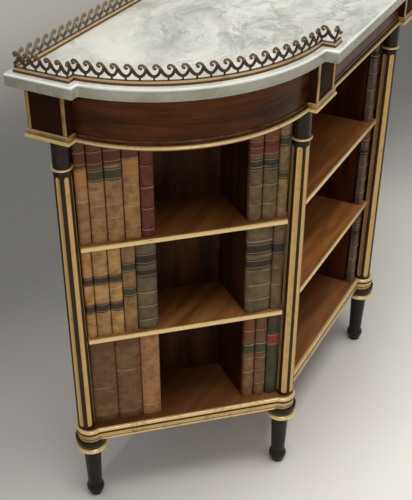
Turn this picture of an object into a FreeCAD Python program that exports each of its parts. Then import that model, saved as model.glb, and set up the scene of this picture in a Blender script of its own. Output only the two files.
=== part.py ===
import FreeCAD, Part
import math
import os
import sys

import Sketcher
from FreeCAD import Placement, Rotation, Vector

# Side cabinet with a marble top: bowed ends over canted open shelves, four turned columns
# on turned legs, false book spines beside the openings and a pierced brass gallery.
# Millimetres. +Z is up, the front faces -Y, and the origin is on the floor under the middle.

doc = FreeCAD.newDocument("SideCabinet")
sheet = doc.addObject("Spreadsheet::Sheet", "Sizes")
sub_parts = []


class Size:
    """A length that carries its value and the expression that gives it from the sheet."""

    def __init__(self, text, value):
        self.text = text
        self.value = value

    def combined(self, sign, other, value):
        return Size(f"({self.text} {sign} {as_size(other).text})", value)

    def __add__(self, other):
        return self.combined("+", other, self.value + as_size(other).value)

    def __sub__(self, other):
        return self.combined("-", other, self.value - as_size(other).value)

    def __mul__(self, other):
        return self.combined("*", other, self.value * as_size(other).value)

    def __truediv__(self, other):
        return self.combined("/", other, self.value / as_size(other).value)

    def __neg__(self):
        return Size(f"(-1 * {self.text})", -self.value)


def as_size(value):
    return value if isinstance(value, Size) else Size(str(value), value)


def root(square):
    return Size(f"sqrt({square.text})", math.sqrt(square.value))


def size(alias, value):
    """Writes one driving size to the sheet and returns it."""
    row = sheet_rows.setdefault(alias, len(sheet_rows) + 1)
    sheet.set(f"A{row}", alias)
    sheet.set(f"B{row}", str(value))
    sheet.setAlias(f"B{row}", alias)
    return Size(f"Sizes.{alias}", value)


sheet_rows = {}
ZERO = Size("0", 0)

# Plan of the top
marble_length = size("marble_length", 1028)
marble_depth = size("marble_depth", 381)
column_end_inset = size("column_end_inset", 51)
column_front_inset = size("column_front_inset", 59.5)
column_back_inset = size("column_back_inset", 46.5)

# Heights above the floor
marble_top_height = size("marble_top_height", 858)
marble_thickness = size("marble_thickness", 18)
frieze_height = size("frieze_height", 82)
upper_shelf_height = size("upper_shelf_height", 557)
lower_shelf_height = size("lower_shelf_height", 371.5)
base_height = size("base_height", 176)
base_thickness = size("base_thickness", 25)

# Frieze, corner blocks and bows
block_width = size("block_width", 67)
rear_block_reach = size("rear_block_reach", 32)
front_block_reach = size("front_block_reach", 29.5)
rear_block_lap = size("rear_block_lap", 39.5)
front_block_lap = size("front_block_lap", 15)
front_block_back = size("front_block_back", 12.5)
bow_setback = size("bow_setback", 14)
rear_setback = size("rear_setback", 18.5)
front_setback = size("front_setback", 10)
rail_thickness = size("rail_thickness", 18)
soffit_thickness = size("soffit_thickness", 9)
bow_marble_overhang = size("bow_marble_overhang", 24.5)
marble_rear_lap = size("marble_rear_lap", 27)
marble_front_lap = size("marble_front_lap", 16)

# Boards and clearances
shelf_thickness = size("shelf_thickness", 9)
panel_thickness = size("panel_thickness", 8)
partition_thickness = size("partition_thickness", 12)
fit_gap = size("fit_gap", 0.3)

half_length = marble_length / 2
half_depth = marble_depth / 2
marble_bottom = marble_top_height - marble_thickness
soffit_height = marble_bottom - frieze_height
rear_x = column_end_inset - half_length
rear_y = half_depth - column_back_inset
front_y = column_front_inset - half_depth
block_end_x = rear_x - rear_block_reach
block_face_y = front_y - front_block_reach
bow_y = rear_y - rear_block_lap
bow_radius = bow_y - block_face_y - bow_setback
bow_x = block_end_x + rear_setback + bow_radius
front_x = bow_x + front_block_lap
front_block_x = bow_x - front_block_back
chord_x = front_x - rear_x
chord_y = front_y - rear_y
chord = root(chord_x * chord_x + chord_y * chord_y)
block_back = bow_y + block_width
rail_bottom = soffit_height + soffit_thickness
rail_height = marble_bottom - rail_bottom
base_bottom = base_height - base_thickness


def bind(thing, name, value):
    thing.setExpression(name, as_size(value).text)


def keep(thing, label):
    """Lists a finished sub-part under its label."""
    thing.Label = label
    sub_parts.append(thing)
    return thing


def place(thing, x=ZERO, y=ZERO, z=ZERO):
    bind(thing, "Placement.Base.x", x)
    bind(thing, "Placement.Base.y", y)
    bind(thing, "Placement.Base.z", z)
    return thing


def place_at_end(thing, z=ZERO):
    """Stands a piece in the left end's frame: X runs from the rear column's axis to the
    front column's, and Y runs into the cabinet."""
    place(thing, rear_x, rear_y, z)
    bind(thing, "Placement.Rotation.Angle", Size(f"atan2({chord_y.text}; {chord_x.text})", 0))
    return thing


def end_placement(z=ZERO):
    turn = math.degrees(math.atan2(chord_y.value, chord_x.value))
    return Placement(Vector(rear_x.value, rear_y.value, z.value), Rotation(Vector(0, 0, 1), turn))


def mirrored(thing, label):
    """The same piece at the other end of the cabinet."""
    twin = doc.addObject("Part::Mirroring", label)
    twin.Source = thing
    twin.Normal = Vector(1, 0, 0)
    return keep(twin, label)


def pin_point(sketch, edge, point, x, y):
    """Ties a sketch point to the sketch's origin by its two named distances."""
    for value, kind, axis in ((x, "DistanceX", -2), (y, "DistanceY", -1)):
        value = as_size(value)
        if value.text == "0":
            sketch.addConstraint(Sketcher.Constraint("PointOnObject", edge, point, axis))
        else:
            row = sketch.addConstraint(Sketcher.Constraint(kind, -1, 1, edge, point, value.value))
            bind(sketch, f"Constraints[{row}]", value)


def draw(sketch, corners):
    """Draws a closed outline. A corner is x and y, and where an arc runs up to it, also the
    arc's centre and its turn: 1 is anticlockwise and -1 clockwise."""
    count = len(corners)
    ends = []
    for index, corner in enumerate(corners):
        tail = corners[index - 1]
        a = Vector(as_size(tail[0]).value, as_size(tail[1]).value, 0)
        b = Vector(as_size(corner[0]).value, as_size(corner[1]).value, 0)
        if len(corner) == 2:
            sketch.addGeometry(Part.LineSegment(a, b))
            ends.append((1, 2))
            continue
        centre = Vector(as_size(corner[2]).value, as_size(corner[3]).value, 0)
        first, last = (a, b) if corner[4] > 0 else (b, a)
        start = math.atan2(first.y - centre.y, first.x - centre.x)
        stop = math.atan2(last.y - centre.y, last.x - centre.x)
        stop += math.tau if stop <= start else 0
        circle = Part.Circle(centre, Vector(0, 0, 1), (a - centre).Length)
        sketch.addGeometry(Part.ArcOfCircle(circle, start, stop))
        ends.append((1, 2) if corner[4] > 0 else (2, 1))
    for index, corner in enumerate(corners):
        after = (index + 1) % count
        join = Sketcher.Constraint("Coincident", index, ends[index][1], after, ends[after][0])
        sketch.addConstraint(join)
        pin_point(sketch, index, ends[index][1], corner[0], corner[1])
        if len(corner) > 2:
            tail = corners[index - 1]
            wide = abs(as_size(corner[0]).value - as_size(tail[0]).value)
            tall = abs(as_size(corner[1]).value - as_size(tail[1]).value)
            kind = "DistanceY" if wide > tall else "DistanceX"
            middle = as_size(corner[3] if wide > tall else corner[2])
            if middle.text == "0":
                axis = -1 if wide > tall else -2
                sketch.addConstraint(Sketcher.Constraint("PointOnObject", index, 3, axis))
            else:
                row = sketch.addConstraint(
                    Sketcher.Constraint(kind, -1, 1, index, 3, middle.value))
                bind(sketch, f"Constraints[{row}]", middle)


def sketched(name, plane, corners):
    """A body with one sketch on a plane of its own origin."""
    body = doc.addObject("PartDesign::Body", name)
    sketch = body.newObject("Sketcher::SketchObject", name + "_outline")
    support = next(item for item in body.Origin.OriginFeatures if item.Role == plane)
    sketch.AttachmentSupport = (support, [""])
    sketch.MapMode = "FlatFace"
    draw(sketch, corners)
    return body, sketch


def slab(name, corners, thickness):
    """A flat board of the outline, standing on the body's own XY plane."""
    body, sketch = sketched(name, "XY_Plane", corners)
    pad = body.newObject("PartDesign::Pad", name + "_pad")
    pad.Profile = sketch
    bind(pad, "Length", thickness)
    return body


def strip(name, profile, length):
    """A straight length of moulding along X. The profile is depth along Y and height."""
    body, sketch = sketched(name, "YZ_Plane", profile)
    pad = body.newObject("PartDesign::Pad", name + "_pad")
    pad.Profile = sketch
    bind(pad, "Length", length)
    return body


def turning(name, profile, angle=360):
    """A turned piece about Z. The profile is radius and height."""
    body, sketch = sketched(name, "XZ_Plane", profile)
    turn = body.newObject("PartDesign::Revolution", name + "_turn")
    turn.Profile = sketch
    turn.ReferenceAxis = (sketch, ["V_Axis"])
    bind(turn, "Angle", angle)
    return body


def block(name, length, width, height, x, y, z):
    box = doc.addObject("Part::Box", name)
    bind(box, "Length", length)
    bind(box, "Width", width)
    bind(box, "Height", height)
    return place(box, x, y, z)


def rod(name, radius, height, x, y, z):
    cylinder = doc.addObject("Part::Cylinder", name)
    bind(cylinder, "Radius", radius)
    bind(cylinder, "Height", height)
    return place(cylinder, x, y, z)


def joined(name, pieces):
    fuse = doc.addObject("Part::MultiFuse", name)
    fuse.Shapes = pieces
    fuse.Refine = True
    return fuse


def cut(name, base, tool):
    result = doc.addObject("Part::Cut", name)
    result.Base = base
    result.Tool = tool
    result.Refine = True
    return result


def group(name, pieces):
    """Several separate solids that share one node."""
    bundle = doc.addObject("Part::Compound", name)
    bundle.Links = pieces
    return bundle


def feature(name, shape):
    thing = doc.addObject("Part::Feature", name)
    thing.Shape = shape
    return thing


# Marble slab, with square corners standing out over the blocks
marble_radius = bow_radius + bow_marble_overhang
marble_rear_y = bow_y - marble_rear_lap
marble_front_x = bow_x - marble_front_lap


def across(radius, y):
    """X of the bow of this radius at this depth."""
    rise = bow_y - y
    return bow_x - root(radius * radius - rise * rise)


def down(radius, x):
    """Y of the bow of this radius at this x."""
    run = bow_x - x
    return bow_y - root(radius * radius - run * run)


def left_rim(inset):
    """Corners of the left end's edge, this far inside the edge of the marble."""
    radius = marble_radius - inset
    near_y = marble_rear_y + inset
    near_x = marble_front_x + inset
    return [
        (inset - half_length, near_y),
        (across(radius, near_y), near_y),
        (near_x, down(radius, near_x), bow_x, bow_y, 1),
        (near_x, inset - half_depth),
    ]


def flipped(corners):
    """The same edge at the right end, run the other way, so that the outline goes on."""
    out = []
    arc = None
    for corner in reversed(corners):
        x = ZERO - corner[0]
        out.append((x, corner[1]) + (() if arc is None else (ZERO - arc[2], arc[3], 1)))
        arc = corner if len(corner) > 2 else None
    return out


marble_left = left_rim(ZERO)
marble_outline = [(ZERO - half_length, half_depth)] + marble_left
marble_outline += flipped(marble_left) + [(half_length, half_depth)]
marble = slab("marble_top_body", marble_outline, marble_thickness)
keep(place(marble, z=marble_bottom), "marble_top")

# Soffit board under the frieze, with the same corners at the blocks
frieze_y = block_face_y + front_setback
block_inner_x = front_block_x + block_width
soffit_left = [
    (block_end_x, bow_y),
    (bow_x - bow_radius, bow_y),
    (front_block_x, down(bow_radius, front_block_x), bow_x, bow_y, 1),
    (front_block_x, block_face_y),
    (block_inner_x, block_face_y),
    (block_inner_x, frieze_y),
]
soffit_outline = [(block_end_x, block_back)] + soffit_left
soffit_outline += flipped(soffit_left) + [(ZERO - block_end_x, block_back)]
soffit_blank = slab("soffit_blank", soffit_outline, soffit_thickness)
place(soffit_blank, z=soffit_height)

# Tenons of the columns and legs
tenon_radius = size("tenon_radius", 8)
leg_tenon_radius = size("leg_tenon_radius", 10)
column_top_tenon = size("column_top_tenon", 7)
column_foot_tenon = size("column_foot_tenon", 10)
leg_tenon = size("leg_tenon", 11)
leg_inset = size("leg_inset", 6)


def four_corners(rear, front):
    """The rear and front places of the left end, and the same two at the right."""
    return {
        "rear_left": rear,
        "front_left": front,
        "front_right": (ZERO - front[0], front[1]),
        "rear_right": (ZERO - rear[0], rear[1]),
    }


# The legs stand a little further in along the end than the columns over them
leg_run_x = chord_x / chord * leg_inset
leg_run_y = chord_y / chord * leg_inset
leg_back_y = rear_y + leg_run_y
column_places = four_corners((rear_x, rear_y), (front_x, front_y))
leg_places = four_corners((rear_x + leg_run_x, leg_back_y),
                          (front_x - leg_run_x, front_y - leg_run_y))


def mortises(name, places, radius, height, z):
    holes = []
    for corner, (x, y) in places.items():
        holes.append(rod(f"{name}_{corner}", radius + fit_gap, height, x, y, z))
    return holes


soffit_holes = joined("soffit_holes", mortises(
    "soffit_mortise", column_places, tenon_radius, column_top_tenon + fit_gap, soffit_height))
keep(cut("soffit_cut", soffit_blank, soffit_holes), "soffit_board")

# Frieze rails and corner blocks
bow_inner = bow_radius - rail_thickness
bow_rail_outline = [
    (bow_x - bow_radius, bow_y),
    (front_block_x, down(bow_radius, front_block_x), bow_x, bow_y, 1),
    (front_block_x, down(bow_inner, front_block_x)),
    (bow_x - bow_inner, bow_y, bow_x, bow_y, -1),
]
left_bow = slab("left_bow_body", bow_rail_outline, rail_height)
keep(place(left_bow, z=rail_bottom), "frieze_bow_left")
mirrored(left_bow, "frieze_bow_right")
keep(block("front_rail_box", ZERO - block_inner_x * 2, rail_thickness, rail_height,
           block_inner_x, frieze_y, rail_bottom), "frieze_rail_front")
rear_block_inner = block_end_x + block_width
keep(block("back_rail_box", ZERO - rear_block_inner * 2, rail_thickness, rail_height,
           rear_block_inner, block_back - rail_thickness, rail_bottom), "frieze_rail_back")
rear_block = block("rear_block_box", block_width, block_width, rail_height,
                   block_end_x, bow_y, rail_bottom)
keep(rear_block, "corner_block_rear_left")
mirrored(rear_block, "corner_block_rear_right")
front_block = block("front_block_box", block_width, block_width, rail_height,
                    front_block_x, block_face_y, rail_bottom)
keep(front_block, "corner_block_front_left")
mirrored(front_block, "corner_block_front_right")

# Brass frames on the faces of the blocks
frame_width = size("frame_width", 6)
frame_proud = size("frame_proud", 2)
frame_foot_height = size("frame_foot_height", 14)
frame_foot_proud = size("frame_foot_proud", 5)


def block_frame(name, length, thin, x, y, along_x):
    """A brass foot moulding and two upright strips. The face looks to -X or to -Y."""
    upright_z = soffit_height + frame_foot_height
    upright_height = marble_bottom - upright_z
    far = length - frame_width
    pieces = []
    rows = (
        ("foot", length, frame_foot_proud, frame_foot_height, ZERO, soffit_height),
        ("near", frame_width, thin, upright_height, ZERO, upright_z),
        ("far", frame_width, thin, upright_height, far, upright_z),
    )
    for part, run, proud, height, start, z in rows:
        if along_x:
            box = block(f"{name}_{part}", run, proud, height, x + start, y - proud, z)
        else:
            box = block(f"{name}_{part}", proud, run, height, x - proud, y + start, z)
        pieces.append(box)
    return joined(name, pieces)


rear_frame = block_frame("rear_frame", block_width, frame_proud, block_end_x, bow_y, False)
keep(rear_frame, "block_frame_rear_left")
mirrored(rear_frame, "block_frame_rear_right")
front_frame = block_frame("front_frame", block_width, frame_proud, front_block_x, block_face_y,
                          True)
keep(front_frame, "block_frame_front_left")
mirrored(front_frame, "block_frame_front_right")

# Gilt moulding along the foot of the frieze, and the dark bead above it
gilt_height = size("gilt_height", 7)
gilt_proud = size("gilt_proud", 6)
gilt_lip = size("gilt_lip", 1.5)
bead_height = size("bead_height", 4)
bead_lift = size("bead_lift", 0.5)


def gilt_profile(face, out):
    """Half-round nose between two lips, from the face outwards (out is 1 or -1)."""
    nose = face + (gilt_proud - gilt_height / 2 + gilt_lip) * out
    low = gilt_lip
    high = gilt_height - gilt_lip
    turn = 1 if out > 0 else -1
    return [
        (face, ZERO),
        (nose, ZERO),
        (nose, low),
        (nose, high, nose, gilt_height / 2, turn),
        (nose, gilt_height),
        (face, gilt_height),
    ]


def bead_profile(face, out):
    turn = 1 if out > 0 else -1
    return [
        (face, ZERO),
        (face, bead_height, face, bead_height / 2, turn),
    ]


bead_height_on_rail = rail_bottom + bead_lift
bow_turn = Rotation(Vector(0, 0, 1), 180)
bow_sweep = Size(f"90 deg - asin({front_block_back.text} / {bow_radius.text})", 0)


def bow_moulding(name, profile, z):
    """Moulding about the bow's centre, from the rear block's side to the front block's."""
    body = turning(name, profile, bow_sweep)
    body.Placement = Placement(Vector(0, 0, 0), bow_turn)
    return place(body, bow_x, bow_y, z)


def front_moulding(name, profile, z):
    body = strip(name, profile, ZERO - block_inner_x * 2)
    return place(body, block_inner_x, ZERO, z)


left_gilt = bow_moulding("left_gilt_body", gilt_profile(bow_radius, 1), soffit_height)
keep(left_gilt, "frieze_gilt_left")
mirrored(left_gilt, "frieze_gilt_right")
keep(front_moulding("front_gilt_body", gilt_profile(frieze_y, -1), soffit_height),
     "frieze_gilt_front")
left_bead = bow_moulding("left_bead_body", bead_profile(bow_radius, 1), bead_height_on_rail)
right_bead = doc.addObject("Part::Mirroring", "right_bead_body")
right_bead.Source = left_bead
right_bead.Normal = Vector(1, 0, 0)
front_bead = front_moulding("front_bead_body", bead_profile(frieze_y, -1), bead_height_on_rail)
keep(group("bead_group", [left_bead, front_bead, right_bead]), "frieze_beads")

# Base board on the legs, with a round lobe under each column
lobe_radius = size("lobe_radius", 19)
end_edge_out = size("end_edge_out", 15)
front_edge_in = size("front_edge_in", 8)
moulding_depth = size("moulding_depth", 6)
base_back = leg_back_y + lobe_radius + moulding_depth
out_x = chord_y / chord * end_edge_out
out_y = ZERO - chord_x / chord * end_edge_out
base_left = [
    (rear_x, base_back),
    (rear_x + out_x, rear_y + out_y),
    (front_x + out_x, front_y + out_y),
    (front_x, front_y + front_edge_in),
]
base_blank = slab("base_blank", base_left + flipped(base_left), base_thickness)
place(base_blank, z=base_bottom)
base_pieces = [base_blank]
for corner, (x, y) in leg_places.items():
    base_pieces.append(rod(f"base_lobe_{corner}", lobe_radius, base_thickness, x, y, base_bottom))
base_solid = joined("base_solid", base_pieces)
leg_holes = mortises("leg_mortise", leg_places, leg_tenon_radius, leg_tenon + fit_gap,
                     base_bottom)
column_holes = mortises("column_mortise", column_places, tenon_radius,
                        column_foot_tenon + fit_gap, base_height - column_foot_tenon - fit_gap)
base_holes = joined("base_holes", leg_holes + column_holes)
keep(cut("base_cut", base_solid, base_holes), "base_board")

# Gilt moulding round the base: a bead over a flat band over a thin fillet
base_bead_height = size("base_bead_height", 8)
base_groove_height = size("base_groove_height", 1.5)
base_fillet_height = size("base_fillet_height", 4)
base_groove_depth = size("base_groove_depth", 3)


def base_profile(face, out):
    """The moulding's section from the board's edge outwards (out is 1 or -1)."""
    turn = 1 if out > 0 else -1
    front = face + moulding_depth * out
    groove = face + (moulding_depth - base_groove_depth) * out
    nose = front - base_bead_height / 2 * out
    bead_low = base_thickness - base_bead_height
    band_high = bead_low - base_groove_height
    band_low = base_fillet_height + base_groove_height
    return [
        (face, ZERO),
        (front - gilt_lip * out, ZERO),
        (front - gilt_lip * out, base_fillet_height),
        (groove, base_fillet_height),
        (groove, band_low),
        (front - gilt_lip * out, band_low),
        (front, band_high),
        (groove, band_high),
        (groove, bead_low),
        (nose, bead_low),
        (nose, base_thickness, nose, base_thickness - base_bead_height / 2, turn),
        (face, base_thickness),
    ]


rear_ring = turning("rear_lobe_moulding", base_profile(lobe_radius, 1))
place(rear_ring, *leg_places["rear_left"], base_bottom)
front_ring = turning("front_lobe_moulding", base_profile(lobe_radius, 1))
place(front_ring, *leg_places["front_left"], base_bottom)
end_run = strip("end_moulding_run", base_profile(ZERO - end_edge_out, -1), chord)
place_at_end(end_run, base_bottom)
left_run = joined("left_moulding_run", [rear_ring, end_run, front_ring])
left_base_moulding = cut("left_moulding_cut", left_run, base_solid)
keep(left_base_moulding, "base_moulding_left")
right_base_moulding = mirrored(left_base_moulding, "base_moulding_right")
front_run = strip("front_moulding_run", base_profile(front_y + front_edge_in, -1),
                  ZERO - front_x * 2)
place(front_run, front_x, ZERO, base_bottom)
front_rings = joined("front_moulding_tools", [base_solid, left_base_moulding, right_base_moulding])
keep(cut("front_moulding_cut", front_run, front_rings), "base_moulding_front")

# Turned legs with a gilt collar
leg_neck_radius = size("leg_neck_radius", 28)
leg_neck_height = size("leg_neck_height", 17)
leg_top_radius = size("leg_top_radius", 16.2)
leg_waist_radius = size("leg_waist_radius", 13.2)
leg_ball_radius = size("leg_ball_radius", 16.5)
leg_ball_height = size("leg_ball_height", 17)
leg_waist_height = size("leg_waist_height", 34)
leg_foot_radius = size("leg_foot_radius", 11)
collar_radius = size("collar_radius", 29)
collar_height = size("collar_height", 10)

neck_bottom = base_bottom - leg_neck_height
collar_bottom = neck_bottom - collar_height
ball_square = leg_ball_radius * leg_ball_radius
ball_low = leg_ball_height - root(ball_square - leg_foot_radius * leg_foot_radius)
ball_high = leg_ball_height + root(ball_square - leg_waist_radius * leg_waist_radius)
leg_profile = [
    (ZERO, ZERO),
    (leg_foot_radius, ZERO),
    (leg_foot_radius, ball_low),
    (leg_waist_radius, ball_high, ZERO, leg_ball_height, 1),
    (leg_waist_radius, leg_waist_height),
    (leg_top_radius, collar_bottom),
    (leg_top_radius, neck_bottom),
    (leg_neck_radius, neck_bottom + leg_neck_height / 2),
    (leg_neck_radius, base_bottom),
    (leg_tenon_radius, base_bottom),
    (leg_tenon_radius, base_bottom + leg_tenon),
    (ZERO, base_bottom + leg_tenon),
]
collar_profile = [
    (leg_top_radius, ZERO),
    (collar_radius - collar_height / 2, ZERO),
    (collar_radius - collar_height / 2, collar_height,
     collar_radius - collar_height / 2, collar_height / 2, 1),
    (leg_top_radius, collar_height),
]

# Turned and fluted columns with a gilt ring under a plain neck and a flared capital
shaft_top_radius = size("shaft_top_radius", 14)
shaft_foot_radius = size("shaft_foot_radius", 15.8)
neck_radius = size("neck_radius", 13.7)
neck_height = size("neck_height", 55.5)
capital_radius = size("capital_radius", 20)
capital_height = size("capital_height", 9)
capital_lip = size("capital_lip", 3)
ring_thickness = size("ring_thickness", 4)
ring_radius = size("ring_radius", 17)
flute_radius = size("flute_radius", 5)
flute_depth = size("flute_depth", 1.6)
flute_margin = size("flute_margin", 10)
flute_count = 6

ring_height = soffit_height - neck_height - ring_thickness
shaft_length = ring_height - base_height
ring_top = shaft_length + ring_thickness
column_length = soffit_height - base_height
column_profile = [
    (ZERO, ZERO - column_foot_tenon),
    (tenon_radius, ZERO - column_foot_tenon),
    (tenon_radius, ZERO),
    (shaft_foot_radius, ZERO),
    (shaft_top_radius, shaft_length),
    (shaft_top_radius, ring_top),
    (neck_radius, ring_top),
    (neck_radius, column_length - capital_height),
    (capital_radius, column_length - capital_lip),
    (capital_radius, column_length),
    (tenon_radius, column_length),
    (tenon_radius, column_length + column_top_tenon),
    (ZERO, column_length + column_top_tenon),
]
ring_profile = [
    (shaft_top_radius, ZERO),
    (ring_radius - ring_thickness / 2, ZERO),
    (ring_radius - ring_thickness / 2, ring_thickness,
     ring_radius - ring_thickness / 2, ring_thickness / 2, 1),
    (shaft_top_radius, ring_thickness),
]


def flutes(name):
    """Round-ended cutters set round the shaft, leaning with its taper."""
    length = shaft_length - flute_margin * 2
    cutter = rod(f"{name}_rod", flute_radius, length, ZERO, ZERO, flute_margin)
    ends = []
    for end, height in (("low", flute_margin), ("high", flute_margin + length)):
        ball = doc.addObject("Part::Sphere", f"{name}_{end}")
        bind(ball, "Radius", flute_radius)
        ends.append(place(ball, z=height))
    cutters = joined(f"{name}_cutter", [cutter] + ends)
    out = shaft_foot_radius + flute_radius - flute_depth
    lean = math.degrees(math.atan2(shaft_top_radius.value - shaft_foot_radius.value,
                                   shaft_length.value))
    copies = []
    for index in range(flute_count):
        angle = 360 / flute_count * index
        copy = doc.addObject("Part::Compound", f"{name}_copy_{index}")
        copy.Links = [cutters]
        heading = Rotation(Vector(0, 0, 1), angle)
        copy.Placement = Placement(heading.multVec(Vector(out.value, 0, 0)),
                                   heading * Rotation(Vector(0, 1, 0), lean))
        copies.append(copy)
    return joined(name, copies)


collars = []
rings = []
column_rooms = []
for corner, (x, y) in column_places.items():
    leg = turning(f"leg_{corner}_body", leg_profile)
    keep(place(leg, *leg_places[corner]), f"leg_{corner}")
    collar = turning(f"collar_{corner}_body", collar_profile)
    collars.append(place(collar, *leg_places[corner], collar_bottom))
    shaft = turning(f"column_{corner}_body", column_profile)
    column = cut(f"column_{corner}_cut", shaft, flutes(f"flutes_{corner}"))
    keep(place(column, x, y, base_height), f"column_{corner}")
    rings.append(place(turning(f"ring_{corner}_body", ring_profile), x, y, ring_height))
    wide = rod(f"ring_room_{corner}", ring_radius + fit_gap, ring_thickness + fit_gap * 2,
               x, y, ring_height - fit_gap)
    slim = rod(f"neck_room_{corner}", neck_radius + fit_gap, neck_height,
               x, y, ring_height + ring_thickness)
    flare = rod(f"capital_room_{corner}", capital_radius + fit_gap, capital_height,
                x, y, soffit_height - capital_height)
    column_rooms.append(joined(f"column_room_{corner}", [wide, slim, flare]))
keep(group("collar_group", collars), "leg_collars")
keep(group("ring_group", rings), "column_rings")
column_room = joined("column_room", column_rooms)

# Back panel and the two partitions of the middle bay
panel_inset = size("panel_inset", 12)
back_face = base_back - panel_thickness
inner_height = soffit_height - base_height
panel_start = rear_x + panel_inset
back_board = block("back_panel_box", ZERO - panel_start * 2, panel_thickness, inner_height,
                   panel_start, back_face, base_height)
keep(cut("back_panel_cut", back_board, column_room), "back_panel")
shelf_edge_depth = size("shelf_edge_depth", 4)
end_shelf_out = size("end_shelf_out", 4.5)
front_shelf_in = size("front_shelf_in", 8)
column_gap = shaft_foot_radius + fit_gap
spine_depth = size("spine_depth", 12)
spine_setback = size("spine_setback", 3)
lining_thickness = size("lining_thickness", 6)
middle_book_width = size("middle_book_width", 23)

middle_front = front_y + front_shelf_in
bay_front = middle_front + spine_setback + spine_depth + lining_thickness
bay_x = front_x + column_gap + middle_book_width
partition = block("left_partition_box", partition_thickness, back_face - bay_front,
                  inner_height, bay_x - partition_thickness, bay_front, base_height)
keep(partition, "partition_left")
mirrored(partition, "partition_right")

# Shelves: a wide strip along the front between the columns, narrower behind it
niche_left = size("niche_left", 139)
niche_right = size("niche_right", 82)
niche_depth = size("niche_depth", 105)
niche_splay_left = size("niche_splay_left", 12)
niche_splay_right = size("niche_splay_right", 17)

end_front = ZERO - end_shelf_out
spine_back = end_front + spine_setback + spine_depth
lining_back = spine_back + lining_thickness
niche_start = niche_left
niche_stop = chord - niche_right
end_shelf_outline = [
    (column_gap, end_front),
    (chord - column_gap, end_front),
    (chord - column_gap, lining_back),
    (niche_stop + lining_thickness, lining_back),
    (niche_stop - niche_splay_right + lining_thickness, niche_depth),
    (niche_start + niche_splay_left - lining_thickness, niche_depth),
    (niche_start - lining_thickness, lining_back),
    (column_gap, lining_back),
]
middle_left = [
    (bay_x, back_face),
    (bay_x, bay_front),
    (front_x + column_gap, bay_front),
    (front_x + column_gap, middle_front),
]
for level, top in (("upper", upper_shelf_height), ("lower", lower_shelf_height)):
    bottom = top - shelf_thickness
    end_shelf = slab(f"{level}_end_shelf_body", end_shelf_outline, shelf_thickness)
    keep(place_at_end(end_shelf, bottom), f"shelf_{level}_left")
    mirrored(end_shelf, f"shelf_{level}_right")
    middle = slab(f"{level}_middle_shelf_body", middle_left + flipped(middle_left),
                  shelf_thickness)
    keep(place(middle, z=bottom), f"shelf_{level}_middle")
    end_edge = block(f"{level}_end_edge", chord - column_gap * 2, shelf_edge_depth,
                     shelf_thickness, ZERO, ZERO, ZERO)
    end_edge_body = doc.addObject("Part::Compound", f"{level}_end_edge_set")
    place(end_edge, column_gap, end_front - shelf_edge_depth, ZERO)
    end_edge_body.Links = [end_edge]
    place_at_end(end_edge_body, bottom)
    twin = doc.addObject("Part::Mirroring", f"{level}_right_edge")
    twin.Source = end_edge_body
    twin.Normal = Vector(1, 0, 0)
    middle_edge = block(f"{level}_middle_edge", ZERO - (front_x + column_gap) * 2,
                        shelf_edge_depth, shelf_thickness, front_x + column_gap,
                        middle_front - shelf_edge_depth, bottom)
    keep(group(f"{level}_edge_group", [end_edge_body, middle_edge, twin]),
         f"shelf_edges_{level}")

# The three open levels, from each floor to the board above
levels = [
    ("bottom", base_height, lower_shelf_height - shelf_thickness),
    ("middle", lower_shelf_height, upper_shelf_height - shelf_thickness),
    ("top", upper_shelf_height, soffit_height),
]

# Linings of the end niches: backs, splayed sides and the backings that carry the spines
side_left = [
    (niche_start - lining_thickness, lining_back),
    (niche_start - lining_thickness, spine_back),
    (niche_start, spine_back),
    (niche_start + niche_splay_left, niche_depth),
    (niche_start + niche_splay_left - lining_thickness, niche_depth),
]
side_right = [
    (niche_stop, spine_back),
    (niche_stop + lining_thickness, spine_back),
    (niche_stop + lining_thickness, lining_back),
    (niche_stop - niche_splay_right + lining_thickness, niche_depth),
    (niche_stop - niche_splay_right, niche_depth),
]
backing_left = [
    (column_gap, spine_back),
    (niche_start - lining_thickness, spine_back),
    (niche_start - lining_thickness, lining_back),
    (column_gap, lining_back),
]
backing_right = [
    (niche_stop + lining_thickness, spine_back),
    (chord - column_gap, spine_back),
    (chord - column_gap, lining_back),
    (niche_stop + lining_thickness, lining_back),
]
niche_back = [
    (niche_start + niche_splay_left - lining_thickness, niche_depth),
    (niche_stop - niche_splay_right + lining_thickness, niche_depth),
    (niche_stop - niche_splay_right + lining_thickness, niche_depth + panel_thickness),
    (niche_start + niche_splay_left - lining_thickness, niche_depth + panel_thickness),
]
niche_back_body = slab("niche_back_body", niche_back, inner_height)
keep(place_at_end(niche_back_body, base_height), "niche_back_left")
mirrored(niche_back_body, "niche_back_right")
linings = []
for level, floor, ceiling in levels:
    rows = (("rear_side", side_left), ("front_side", side_right),
            ("rear_backing", backing_left), ("front_backing", backing_right))
    for part, outline in rows:
        board = slab(f"{level}_{part}", outline, ceiling - floor)
        linings.append(place_at_end(board, floor))
lining_set = cut("lining_cut", group("lining_group", linings), column_room)
keep(lining_set, "niche_linings_left")
mirrored(lining_set, "niche_linings_right")

# False book spines: rounded fronts side by side, as tall as their level
spine_round = size("spine_round", 3.5)
spine_gap = size("spine_gap", 0.4)
spine_headroom = size("spine_headroom", 1.5)
rear_width_shares = {
    "top": (0.165, 0.208, 0.228, 0.217, 0.182),
    "middle": (0.14, 0.205, 0.18, 0.193, 0.282),
    "bottom": (0.365, 0.356, 0.279),
}
front_width_shares = {
    "top": (0.35, 0.38, 0.27),
    "middle": (0.68, 0.32),
    "bottom": (0.32, 0.33, 0.35),
}


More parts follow.
